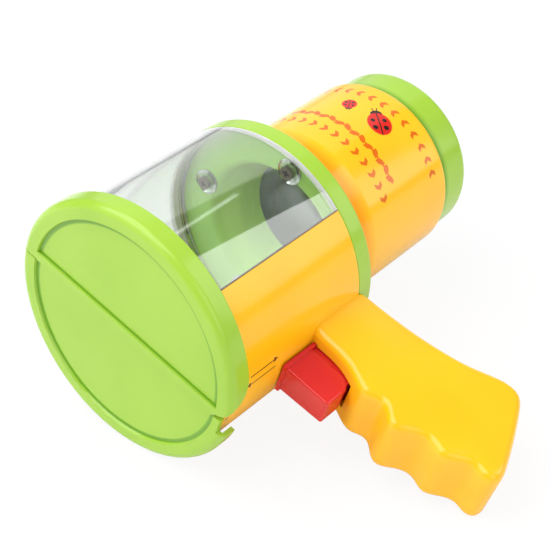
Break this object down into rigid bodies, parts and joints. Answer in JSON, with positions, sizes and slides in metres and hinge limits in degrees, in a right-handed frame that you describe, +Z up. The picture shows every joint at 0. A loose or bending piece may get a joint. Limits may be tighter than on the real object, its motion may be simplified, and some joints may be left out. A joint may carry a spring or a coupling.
{
  "type": "bug catcher jar",
  "caption": "Child's hand-held bug catcher: a round jar with a clear window, a trigger-worked trap door, a finger-grooved grip and a magnifying eyepiece.",
  "frame": {"origin": "centre of the box round the part, on the surface that it lies on", "axes": "+Y along the drum's axis from the trap door to the eyepiece, +Z up from the surface, +X towards the grip"},
  "size_m": [0.1904, 0.1764, 0.11],
  "materials": {
    "green_plastic": "gloss",
    "yellow_plastic": "gloss",
    "red_plastic": "gloss",
    "clear_plastic": "clear",
    "grey_plastic": "matte",
    "steel": "plated"
  },
  "bodies": {
    "base": {"front_cap": "green_plastic", "clear_window": "clear_plastic", "shell_upper": "yellow_plastic", "shell_lower": "yellow_plastic", "back_cap": "green_plastic", "window_screws": "steel", "eyepiece_barrel": "yellow_plastic", "eyepiece_ring": "green_plastic", "magnifier_lens": "clear_plastic", "lens_retainer": "grey_plastic", "slide_guide": "grey_plastic", "return_spring": "steel", "chamber_floor": "yellow_plastic", "handle_screws": "steel", "hinge_pin": "steel"},
    "door": {"trap_door": "green_plastic", "crank_pin": "steel"},
    "trigger": {"trigger_button": "red_plastic", "slide_bar": "grey_plastic", "trigger_screw": "steel"}
  },
  "joints": [
    {"name": "trigger_slide", "type": "slide", "parent": "base", "child": "trigger", "axis": [0, 1, 0], "range_m": [0, 0.008], "stiffness_N_per_m": 150, "springref_m": -0.004, "deforming": ["return_spring"]},
    {"name": "door_hinge", "type": "hinge", "parent": "base", "child": "door", "pos_m": [-0.04102, -0.0836, 0.05253], "axis": [-0.9508, 0, 0.3098], "range_deg": [0, 65]}
  ],
  "couplings": [
    {"joint": "door_hinge", "follows": "trigger_slide", "rad_per_m": 141.8}
  ]
}
